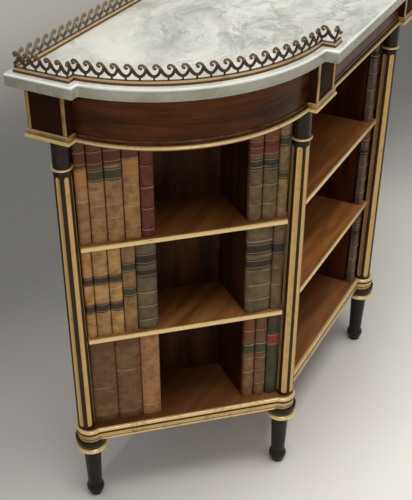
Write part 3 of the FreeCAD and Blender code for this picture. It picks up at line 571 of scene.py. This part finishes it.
# Corners of each foot's run, which wraps this far round the two sides: X and which way
# the section stands out there, then Y.
rear_corners = [
    (rear_low.x + rear_wraps[0], 0, rear_low.y, -1), (rear_low.x, -1, rear_low.y, -1),
    (rear_low.x, -1, rear_high.y, 1), (rear_low.x + rear_wraps[1], 0, rear_high.y, 1)]
front_corners = [
    (front_low.x, -1, front_low.y + front_wraps[0], 0), (front_low.x, -1, front_low.y, -1),
    (front_high.x, 1, front_low.y, -1), (front_high.x, 1, front_low.y + front_wraps[1], 0)]


def ebony(name, pale, deep, shine, rough):
    """Wood stained nearly black and polished, with brown showing where it is worn."""
    finish = Finish(name)
    haze = finish.noise(9.0, 4.0, 0.6)
    wear = finish.between(finish.noise(46.0, 4.0, 0.65), 0.60, 0.76)
    colour = finish.mix(haze, paint(*deep), paint(*pale))
    colour = finish.mix(wear * 0.4, colour, paint(*ebony_worn))
    finish.set(Base_Color=colour, Roughness=rough + haze * 0.14)
    finish.shader.inputs["Specular IOR Level"].default_value = shine
    return finish.material


def foot_moulding(shape, corners):
    """The foot's section, drawn round the corners of its run."""
    rings = []
    for x, east, y, north in corners:
        section = [shape.verts.new((x + east * out, y + north * out, block_foot_z + up))
                   for out, up in foot_section]
        rings.append([shape.edges.new((vert, section[(index + 1) % len(section)]))
                      for index, vert in enumerate(section)])
    for first, second in zip(rings, rings[1:]):
        bmesh.ops.bridge_loops(shape, edges=first + second)
    for ring in (rings[0], rings[-1]):
        bmesh.ops.contextual_create(shape, geom=ring)


def strip(shape, low, high):
    """One brass strip with its edges broken."""
    middle = (Vector(low) + Vector(high)) / 2
    size = Matrix.Diagonal((*(Vector(high) - Vector(low)), 1))
    made = bmesh.ops.create_cube(shape, size=1.0, matrix=Matrix.Translation(middle) @ size)
    edges = {edge for vert in made["verts"] for edge in vert.link_edges}
    bmesh.ops.bevel(shape, geom=list(edges), offset=strip_round, affect="EDGES", segments=2,
                    profile=0.5, material=-1)


ebonised = ebony("ebonised_wood", (44, 34, 27), (26, 19, 15), 0.2, 0.26)
block_veneer = ebony("block_veneer", (56, 30, 13), (30, 15, 6), 0.05, 0.55)


def block_gilding(name):
    """Brass strips, dull and brown, over a brown band, with a painted highlight on the lower
    half-round and on the lip at the top of the foot.
    """
    finish = Finish(name)
    level = finish.level(block_foot_z)
    fine = finish.noise(160.0, 4.0, 0.65)
    broad = finish.noise(36.0, 4.0, 0.6)
    # Painted highlights: the lower half-round and the top lip of the foot are painted bright.
    nose = 1 - finish.between(level, *brass_nose_brink)
    lip = finish.span(level, brass_lip_rise, brass_lip_fall)
    colour = finish.mix(finish.between(broad, 0.4, 0.65), paint(*brass_dull),
                        paint(*brass_brown))
    colour = finish.mix(nose, colour, paint(*brass_nose_highlight))
    colour = finish.mix(lip * 0.8, colour, paint(*brass_lip_highlight))
    colour = finish.mix(finish.between(fine, 0.55, 0.72) * 0.5, colour, paint(*brass_bare))
    finish.set(Base_Color=colour, Metallic=0.45, Roughness=0.30 + fine * 0.14)
    finish.height(fine, 0.12, 0.0004)
    return finish.material


strip_brass = block_gilding("block_brass")
for end, corners in (("rear", rear_corners), ("front", front_corners)):
    for side, sign in (("left", 1), ("right", -1)):
        eased(f"corner_block_{end}_{side}", f"corner_post_{end}_{side}", block_round,
              block_veneer)
        brasses = bmesh.new()
        foot_moulding(brasses, corners)
        if end == "rear":
            for near in (rear_low.y, rear_high.y - strip_width):
                strip(brasses, (rear_low.x - strip_proud, near, strip_foot_z),
                      (rear_low.x + strip_sunk, near + strip_width, strip_head_z))
        else:
            for near in (front_low.x, front_high.x - strip_width):
                strip(brasses, (near, front_low.y - strip_proud, strip_foot_z),
                      (near + strip_width, front_low.y + strip_sunk, strip_head_z))
        bmesh.ops.scale(brasses, vec=(sign, 1, 1), verts=brasses.verts)
        brass_piece = piece_of(brasses, f"block_brasses_{end}_{side}", [strip_brass])
        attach(brass_piece, "root")
        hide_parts(f"block_frame_{end}_{side}")

# Columns: turned in beech, ebonised and polished, with six round-ended flutes gilded
# inside. A gilt ring is sprung on under the plain neck, and the capital's edge is gilt.
column_sides = 96
column_foot = 0.176
foot_chamfer = 0.0005
shaft_foot_radius = 0.0158
shaft_head_radius = 0.014
ring_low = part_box("column_rings")[0].z
neck_foot = 0.7025
neck_outline = [
    (0.0137, neck_foot), (0.0137, 0.7480), (0.0142, 0.7500), (0.0156, 0.7520),
    (0.0178, 0.7537), (0.0198, 0.7545), (0.0200, 0.7552), (0.0200, 0.7574),
    (0.0194, 0.7580), (0.0, 0.7580),
]
capital_gilt = (0.7520, 0.7545)
flute_low = 0.1825
flute_high = 0.6885
flute_spacing = 60
flute_halves = {"rear": 15.5, "front": 19.0}
flute_turns = {"rear": 0, "front": 16}
flute_depth = 0.0017
flute_end = 0.0040
flute_tips = (0.0, 0.0004, 0.0011, 0.0022, flute_end)
flute_brink = (0.00025, 0.00055)
flute_margin = 0.0006
flute_gold = (232, 194, 120)
flute_dull = (162, 122, 66)
flute_bare = (140, 100, 60)
column_black = (26, 18, 13)
column_brown = (46, 34, 25)
column_worn = (110, 78, 46)


def fluted(name, axis):
    """Ebonised outside, gilt where the surface lies below the turned taper."""
    finish = Finish(name)
    at = finish.node("VectorMath", {"operation": "SUBTRACT"}, {
        0: finish.node("TexCoord", output="Object"), 1: (axis.x, axis.y, 0)})
    level = finish.node("SeparateXYZ", {}, {0: at}, "Z")
    flat = finish.node("VectorMath", {"operation": "MULTIPLY"}, {0: at, 1: (1, 1, 0)})
    reach = finish.node("VectorMath", {"operation": "LENGTH"}, {0: flat}, "Value")
    taper = finish.node("MapRange", {}, {
        "Value": level, "From Min": column_foot, "From Max": ring_low,
        "To Min": shaft_foot_radius, "To Max": shaft_head_radius})
    flute = finish.between(taper - reach, *flute_brink)
    inside = finish.band(level, flute_low - flute_margin, flute_high + flute_margin,
                         flute_margin)
    haze = finish.noise(9.0, 4.0, 0.6)
    wear = finish.noise(120.0, 4.0, 0.65)
    black = finish.mix(haze, paint(*column_black), paint(*column_brown))
    black = finish.mix(finish.between(wear, 0.58, 0.74) * 0.5, black, paint(*column_worn))
    leaf = finish.mix(wear * 0.8, paint(*flute_gold), paint(*flute_dull))
    leaf = finish.mix(finish.between(finish.noise(34.0, 4.0, 0.6), 0.56, 0.72) * 0.5, leaf,
                      paint(*flute_bare))
    rim = finish.between(level, *capital_gilt) * 0.75
    share = flute * inside + rim
    finish.set(Base_Color=finish.mix(share, black, leaf), Metallic=share * 0.45,
               Roughness=0.28 + share * 0.12 + haze * 0.1)
    finish.shader.inputs["Specular IOR Level"].default_value = 0.2
    return finish.material


def column(name, axis, turn, half, finish):
    """A turned shaft on its own axis, its flutes pressed in, then set over its leg."""
    levels = ([column_foot + foot_chamfer] + [flute_low + tip for tip in flute_tips]
              + [flute_high - tip for tip in reversed(flute_tips)] + [ring_low])
    slope = (shaft_head_radius - shaft_foot_radius) / (ring_low - column_foot)
    outline = [(0.0, column_foot), (shaft_foot_radius - foot_chamfer, column_foot)]
    outline += [(shaft_foot_radius + slope * (level - column_foot), level) for level in levels]
    outline += [(shaft_head_radius, neck_foot)] + neck_outline
    shape = bmesh.new()
    line = [shape.verts.new((radius, 0, level)) for radius, level in outline]
    edges = [shape.edges.new(pair) for pair in zip(line, line[1:])]
    bmesh.ops.spin(shape, geom=line + edges, cent=(0, 0, 0), axis=(0, 0, 1), dvec=(0, 0, 0),
                   angle=2 * pi, steps=column_sides, use_merge=True)
    bmesh.ops.remove_doubles(shape, verts=shape.verts, dist=weld)
    for vert in shape.verts:
        if not flute_low <= vert.co.z <= flute_high:
            continue
        aim = degrees(atan2(vert.co.y, vert.co.x)) - turn
        off = (aim + flute_spacing / 2) % flute_spacing - flute_spacing / 2
        tip = min(vert.co.z - flute_low, flute_high - vert.co.z)
        sunk = 1 - (off / half) ** 2 - max(0, 1 - tip / flute_end) ** 2
        if sunk > 0:
            radius = vert.co.xy.length
            vert.co.xy *= (radius - flute_depth * sunk ** 0.5) / radius
    bmesh.ops.translate(shape, vec=(axis.x, axis.y, 0), verts=shape.verts)
    return piece_of(shape, name, [finish])


dress(bright_gilt, "column_rings")
for end in ("rear", "front"):
    for side, hand in (("left", 1), ("right", -1)):
        low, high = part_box(f"column_{end}_{side}")
        axis = (low + high) / 2
        turned = column(f"fluted_column_{end}_{side}", axis, flute_turns[end] * hand,
                        flute_halves[end], fluted(f"fluted_{end}_{side}", axis))
        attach(turned, "root")
        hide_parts(f"column_{end}_{side}")

# Shelves, partitions and niches: mahogany boards housed behind the columns. The floors
# are orange brown, darkened towards the back as painted shade, and the walls behind are
# nearly black.
end_turn = atan2(0.275, 0.2525)
end_along = Vector((0.6763, -0.7366, 0))
end_inward = Vector((0.7366, 0.6763, 0))
end_front, end_back = -0.262, -0.145
end_pale, end_deep = (216, 148, 78), (164, 104, 48)
shelf_patch = (104, 60, 28)
shelf_shadow = (54, 27, 12)


def painted_shade_shelf(name, turn, inward, near, far, pale, deep):
    """Mahogany darkened along the inward way as painted shade, from near to far along it."""
    finish = Finish(name)
    lie = finish.place((5, 46, 46), (0, 0, turn))
    streak = finish.noise(1.0, 6.0, 0.62, lie, 0.4)
    pores = finish.noise(4.0, 3.0, 0.7, lie)
    colour = finish.mix(finish.between(streak, 0.34, 0.66), paint(*pale), paint(*deep))
    colour = finish.mix(finish.between(finish.noise(6.0, 3.0), 0.4, 0.7) * 0.35, colour,
                        paint(*shelf_patch))
    depth = finish.node("VectorMath", {"operation": "DOT_PRODUCT"},
                        {0: finish.place(), 1: inward}, "Value")
    # Painted shade: darker deeper into the opening.
    colour = finish.mix(finish.between(depth, near, far) * 0.8, colour, paint(*shelf_shadow))
    finish.set(Base_Color=colour, Roughness=0.36 + pores * 0.14, Coat_Weight=0.05)
    finish.shader.inputs["Specular IOR Level"].default_value = 0.3
    finish.height(pores, 0.10, 0.0006)
    return finish.material


bay_shelf = painted_shade_shelf("bay_shelf_mahogany", 0, (0, 1, 0), -0.13, 0.14,
                        (198, 134, 70), (150, 92, 42))
left_shelf = painted_shade_shelf("left_shelf_mahogany", end_turn, end_inward,
                         end_front, end_back, end_pale, end_deep)
right_shelf = painted_shade_shelf("right_shelf_mahogany", -end_turn, (-end_inward.x, end_inward.y, 0),
                          end_front, end_back, end_pale, end_deep)
base_wood = painted_shade_shelf("base_board_mahogany", 0, (0, 1, 0), -0.15, 0.15,
                        (160, 106, 62), (130, 82, 44))
for level in ("upper", "lower"):
    dress(bay_shelf, f"shelf_{level}_middle")
    dress(left_shelf, f"shelf_{level}_left")
    dress(right_shelf, f"shelf_{level}_right")
dress(base_wood, "base_board")

dark_mahogany = timber("upright_mahogany", (84, 42, 18), (50, 23, 9), (44, 44, 5), 0.34, 0.05)
dress(dark_mahogany, "partition_left", "partition_right")
niche_wood = timber("niche_mahogany", (66, 38, 20), (38, 20, 10), (44, 44, 5), 0.38)
dress(niche_wood, "niche_back_left", "niche_back_right", "niche_linings_left",
      "niche_linings_right")
back_wood = timber("back_board_wood", (84, 44, 20), (52, 26, 12), (40, 40, 4), 0.45)
dress(back_wood, "back_panel")

lipping_round = 0.0016
edge_gilt = gilding("shelf_edge_gilding", (246, 216, 148), (140, 98, 52), 0.24, 0.34, 80.0)
for level in ("upper", "lower"):
    eased(f"shelf_edges_{level}", f"shelf_lippings_{level}", lipping_round, edge_gilt)

# False book spines: real calf spines glued side by side on boards, in tan, brown, red and
# green, with raised cords, tooled lines and plain leather labels.
end_origin = Vector((-0.463, 0.144, 0))
books_near = 0.0161
niche_start = 0.139
niche_stop = 0.2913
books_far = 0.3572
spine_face = -0.0015
spine_depth = 0.012
spine_round = 0.0048
spine_gap = 0.0005
spine_sweep = 8
swell_margin = 0.002
band_swell = ((-0.0032, 0), (-0.0014, 1), (0.0014, 1), (0.0032, 0))
level_floors = {"bottom": 0.176, "middle": 0.3715, "top": 0.557}
level_heights = {"bottom": 0.185, "middle": 0.175, "top": 0.1995}
tan = (168, 124, 76)
warm_tan = (188, 140, 82)
grey_tan = (118, 96, 62)
olive = (106, 90, 62)
brown = (112, 84, 54)
umber = (92, 60, 36)
red = (108, 52, 36)
deep_green = (66, 66, 44)
label_black = (42, 32, 26)
label_green = (54, 56, 38)
label_red = (134, 56, 40)
label_brink = 0.0006
label_border = 0.016
border_gold = (196, 164, 108)
line_gold = (204, 174, 122)
line_width = (0.0004, 0.0009)


def calf(name, skin, head=None, head_share=0.7, labels=(), lines=(), floor=0.0, tall=0.2):
    """Old calf leather. Labels are (low share, high share, colour) up the spine, and lines
    are gilt tooling at these shares."""
    finish = Finish(name)
    level = finish.level(floor)
    mottle = finish.noise(75.0, 5.0, 0.65)
    rub = finish.noise(24.0, 3.0, 0.6)
    ragged = level + (mottle - 0.5) * 0.004
    colour = finish.mix(finish.between(mottle, 0.35, 0.7), paint(*skin),
                        paint(*[part * 0.74 for part in skin]))
    colour = finish.mix(finish.between(rub, 0.5, 0.72) * 0.5, colour,
                        paint(*[min(255, part * 1.22) for part in skin]))
    if head:
        brink = tall * head_share
        share = finish.between(ragged, brink - 0.002, brink + 0.003)
        colour = finish.mix(share, colour, paint(*head))
    for low, high, tint in labels:
        inside = finish.band(ragged, tall * low - label_brink, tall * high + label_brink,
                             2 * label_brink)
        colour = finish.mix(inside * 0.92, colour, paint(*tint))
        for share in (low + label_border, high - label_border):
            line = 1 - finish.between(abs(level - tall * share), *line_width)
            colour = finish.mix(line * 0.45, colour, paint(*border_gold))
    for share in lines:
        line = 1 - finish.between(abs(level - tall * share), *line_width)
        colour = finish.mix(line * finish.between(rub, 0.3, 0.6) * 0.6, colour,
                            paint(*line_gold))
    finish.set(Base_Color=colour, Roughness=0.46 + mottle * 0.2, Coat_Weight=0.03)
    finish.shader.inputs["Specular IOR Level"].default_value = 0.25
    finish.height(mottle, 0.35, 0.0008)
    return finish.material


def book(shape, start, width, tall, cords, swell, index):
    """One spine in the end's own frame: a rounded strip, drawn up level by level, with a
    swelling at each raised cord."""
    steps = [(cord * tall + offset, swell * share)
             for cord in cords for offset, share in band_swell] + [(tall, 0.0)]
    left, right = start + spine_gap, start + width - spine_gap
    middle, half = (left + right) / 2, (right - left) / 2
    spine_back = spine_face + spine_depth
    turns = [pi * number / spine_sweep for number in range(spine_sweep + 1)]
    ring = [(middle - half * cos(turn), spine_face + spine_round * (1 - sin(turn)))
            for turn in turns] + [(right, spine_back), (left, spine_back)]
    verts = [shape.verts.new((x, y, 0)) for x, y in ring]
    edges = [shape.edges.new(pair) for pair in zip(verts, verts[1:] + verts[:1])]
    shape.faces.new(verts).material_index = index
    last, out_before = 0.0, 0.0
    for height, out in steps:
        made = bmesh.ops.extrude_edge_only(shape, edges=edges)["geom"]
        edges = [item for item in made if isinstance(item, bmesh.types.BMEdge)
                 and all(vert in made for vert in item.verts)
                 and len(item.link_faces) == 1]
        for vert in {vert for edge in edges for vert in edge.verts}:
            vert.co.z += height - last
            if vert.co.y < spine_back - swell_margin:
                vert.co.y += out_before - out
        for item in made:
            if isinstance(item, bmesh.types.BMFace):
                item.material_index = index
        last, out_before = height, out
    for face in bmesh.ops.contextual_create(shape, geom=edges)["faces"]:
        face.material_index = index


def end_books(level, side):
    """A row of spines at one level of an end, on both sides of its opening."""
    shape = bmesh.new()
    finishes = []
    for group, start, stop in (("rear", books_near, niche_start),
                               ("front", niche_stop, books_far)):
        run = stop - start
        for width_share, cords, swell, leather in shelf_books[level][group]:
            width = run * width_share
            book(shape, start, width, level_heights[level], cords, swell, len(finishes))
            finishes.append(leather)
            start += width
    across = Matrix.Identity(4)
    for row in range(3):
        across[row][0], across[row][1] = end_along[row], end_inward[row]
        across[row][3] = end_origin[row]
    across[2][3] = level_floors[level]
    bmesh.ops.transform(shape, matrix=across, verts=shape.verts)
    if side == "right":
        bmesh.ops.scale(shape, vec=(-1, 1, 1), verts=shape.verts)
    piece = piece_of(shape, f"end_spines_{level}_{side}", finishes)
    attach(piece, "root")
    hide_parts(f"book_spines_{level}_{side}")


def leather_for(level):
    """Leathers of one level share its floor and height."""
    floor, tall = level_floors[level], level_heights[level]
    return lambda name, *rest, **more: calf(name, *rest, floor=floor, tall=tall, **more)


top_calf = leather_for("top")
middle_calf = leather_for("middle")
bottom_calf = leather_for("bottom")
five = (0.16, 0.33, 0.50, 0.67, 0.84)
ribs = (0.08, 0.16, 0.25, 0.34, 0.43, 0.52, 0.61, 0.70, 0.79, 0.88)
red_cords = (0.07, 0.26, 0.45, 0.64, 0.83)
tan_cords = (0.14, 0.50, 0.86)
tan_lines = (0.10, 0.22, 0.34, 0.47, 0.88)
tooled = (0.08, 0.20, 0.46, 0.54, 0.78, 0.92)
black_pair = [(0.60, 0.70, label_black), (0.28, 0.39, label_black)]
brown_green = [(0.54, 0.69, (66, 64, 42))]
none = ()
# Each row: share of the run's width, cords, how far they swell, and the leather.
shelf_books = {
    "top": {
        "rear": [
            (0.165, (0.22, 0.40), 0.0006, top_calf(
                "calf_orange_label", tan, umber, 0.68,
                [(0.53, 0.66, (190, 128, 66)), (0.70, 0.83, (98, 54, 36))],
                (0.22, 0.40, 0.90))),
            (0.208, (0.22,), 0.0005, top_calf(
                "calf_green_label_a", tan, (92, 60, 38), 0.66,
                [(0.55, 0.66, label_green), (0.69, 0.82, (90, 50, 34))], tan_lines)),
            (0.228, none, 0, top_calf(
                "calf_green_label_b", tan, (90, 58, 36), 0.68,
                [(0.55, 0.66, label_green), (0.70, 0.82, (88, 50, 34))], tan_lines)),
            (0.217, none, 0, top_calf(
                "calf_ochre", tan, (88, 58, 36), 0.72, [(0.58, 0.70, (168, 124, 62))],
                (0.12, 0.30, 0.49, 0.84))),
            (0.182, red_cords, 0.0012, top_calf(
                "calf_red", red, (96, 54, 42), 0.72, none, red_cords)),
        ],
        "front": [
            (0.35, five, 0.0012, top_calf(
                "calf_ribbed_green_a", grey_tan, (110, 66, 44), 0.75,
                [(0.455, 0.57, label_green), (0.59, 0.735, (106, 52, 36))], five)),
            (0.38, five, 0.0012, top_calf(
                "calf_ribbed_green_b", grey_tan, (118, 62, 44), 0.75,
                [(0.455, 0.57, label_green), (0.59, 0.735, (114, 48, 34))], five)),
            (0.27, none, 0, top_calf(
                "calf_tan_green", (146, 116, 78), umber, 0.9,
                [(0.65, 0.745, label_green), (0.36, 0.44, label_green)])),
        ],
    },
    "middle": {
        "rear": [
            (0.14, tan_cords, 0.0006, middle_calf(
                "calf_black_label_a", warm_tan, labels=black_pair, lines=tooled)),
            (0.205, tan_cords, 0.0006, middle_calf(
                "calf_black_label_b", (184, 138, 84), labels=black_pair, lines=tooled)),
            (0.18, tan_cords, 0.0006, middle_calf(
                "calf_black_label_c", (192, 146, 86), labels=black_pair, lines=tooled)),
            (0.193, none, 0, middle_calf(
                "calf_green_label_c", (150, 114, 70),
                labels=[(0.70, 0.81, label_green), (0.42, 0.53, label_green)])),
            (0.282, (0.12, 0.28, 0.44, 0.60, 0.74), 0.0013, middle_calf(
                "calf_olive", olive,
                labels=[(0.76, 0.88, label_black), (0.62, 0.72, label_black)],
                lines=(0.12, 0.28, 0.44))),
        ],
        "front": [
            (0.68, five, 0.0013, middle_calf(
                "calf_olive_wide", olive,
                labels=[(0.69, 0.81, label_black), (0.52, 0.63, label_black)], lines=five)),
            (0.32, none, 0, middle_calf(
                "calf_brown_label", brown, labels=[(0.66, 0.80, label_black)],
                lines=(0.3, 0.5))),
        ],
    },
    "bottom": {
        "rear": [
            (0.365, ribs, 0.0011, bottom_calf(
                "calf_umber_a", (116, 84, 54), (104, 72, 44), 0.86, lines=(0.43,))),
            (0.356, ribs, 0.0011, bottom_calf(
                "calf_umber_b", (122, 88, 56), (102, 70, 42), 0.90, lines=(0.61,))),
            (0.279, none, 0, bottom_calf(
                "calf_plain_tan", (170, 118, 70), lines=(0.12, 0.92))),
        ],
        "front": [
            (0.32, five, 0.0012, bottom_calf(
                "calf_tan_ribbed_a", (128, 92, 58), (112, 66, 42), 0.71, brown_green, five)),
            (0.33, five, 0.0012, bottom_calf(
                "calf_tan_ribbed_b", (122, 88, 56), (106, 70, 44), 0.71, brown_green, five)),
            (0.35, none, 0, bottom_calf(
                "calf_green", deep_green, (78, 52, 38), 0.9, [(0.62, 0.76, label_red)])),
        ],
    },
}
for level in shelf_books:
    for side in ("left", "right"):
        end_books(level, side)

# Spines of the middle bay: one at each side of each level, dark brown calf with rubbed
# cords, standing square to the front.
bay_low, bay_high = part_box("book_spines_middle_bay")
bay_width = 0.023
bay_swell = 0.0012
bay_calf = (104, 84, 66)
bay_shape = bmesh.new()
bay_leathers = []
for level in level_floors:
    leather = leather_for(level)
    bay_leathers.append(leather(f"calf_bay_{level}", bay_calf, umber, 0.8,
                                [(0.62, 0.74, label_black)], five))
    for left in (bay_low.x, bay_high.x - bay_width):
        before = set(bay_shape.verts)
        book(bay_shape, left, bay_width, level_heights[level], five, bay_swell,
             len(bay_leathers) - 1)
        new = [vert for vert in bay_shape.verts if vert not in before]
        bmesh.ops.translate(bay_shape, verts=new,
                            vec=(0, bay_low.y - spine_face, level_floors[level]))
bay_spines = piece_of(bay_shape, "bay_spines", bay_leathers)
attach(bay_spines, "root")
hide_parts("book_spines_middle_bay")

# Base: a gilt moulding of bead, band and fillet wraps the board and its round lobes. It
# is knocked and rubbed more than the rest.
base_foot = 0.151
base_grooves = ((0.0040, 0.0056), (0.0152, 0.0172))
groove_margin = 0.0004
groove_brink = 0.0006
band_rise, band_fall = (0.0052, 0.0060), (0.0150, 0.0156)
under_rise, under_fall = (0.0168, 0.0176), (0.0184, 0.0206)
crown_rise = (0.0212, 0.0226)
base_leaf = (244, 214, 146)
base_leaf_dull = (204, 170, 106)
base_ground = (128, 92, 50)
base_band = (184, 142, 82)
# Painted shade under the bead and a painted highlight on its crown.
base_under_bead_shade = (146, 102, 52)
base_crown_highlight = (240, 212, 152)
base_groove_dark = (44, 28, 16)


def moulded_gilding(name):
    """Gilding darkened in the two grooves and worn to the ground on the band, with painted
    shade under the bead and a painted highlight on its crown.
    """
    finish = Finish(name)
    level = finish.level(base_foot)
    broad = finish.noise(26.0, 4.0, 0.6)
    fine = finish.noise(150.0, 4.0, 0.65)
    # Both grooves are darkened.
    grooves = 0
    for low, high in base_grooves:
        grooves = grooves + finish.band(level, low - groove_margin, high + groove_margin,
                                        groove_brink)
    band = finish.span(level, band_rise, band_fall)
    worn = finish.between(broad * 0.55 + fine * 0.45, 0.50, 0.64)
    leaf = finish.mix(fine * 0.4, paint(*base_leaf), paint(*base_leaf_dull))
    colour = finish.mix(worn * (0.35 + band * 0.35), leaf, paint(*base_ground))
    colour = finish.mix(band * 0.45, colour, paint(*base_band))
    # Painted shade on the underside of the bead and a painted highlight on its crown.
    under = finish.span(level, under_rise, under_fall)
    crown = finish.between(level, *crown_rise)
    colour = finish.mix(under * 0.6, colour, paint(*base_under_bead_shade))
    colour = finish.mix(crown * (1 - worn * 0.6) * 0.6, colour, paint(*base_crown_highlight))
    finish.set(Base_Color=finish.mix(grooves * 0.85, colour, paint(*base_groove_dark)),
               Metallic=0.42 - grooves * 0.4, Roughness=0.36 + worn * 0.2)
    finish.height(fine, 0.15, 0.0005)
    return finish.material


dress(moulded_gilding("base_gilding"), "base_moulding_left", "base_moulding_right",
      "base_moulding_front")

# Legs: turned and ebonised like the columns, with a ball foot, and tenoned up into the
# base board. A gilt collar is sprung on under the neck of each.
dress(ebonised, "leg_rear_left", "leg_rear_right", "leg_front_left", "leg_front_right")
dress(bright_gilt, "leg_collars")
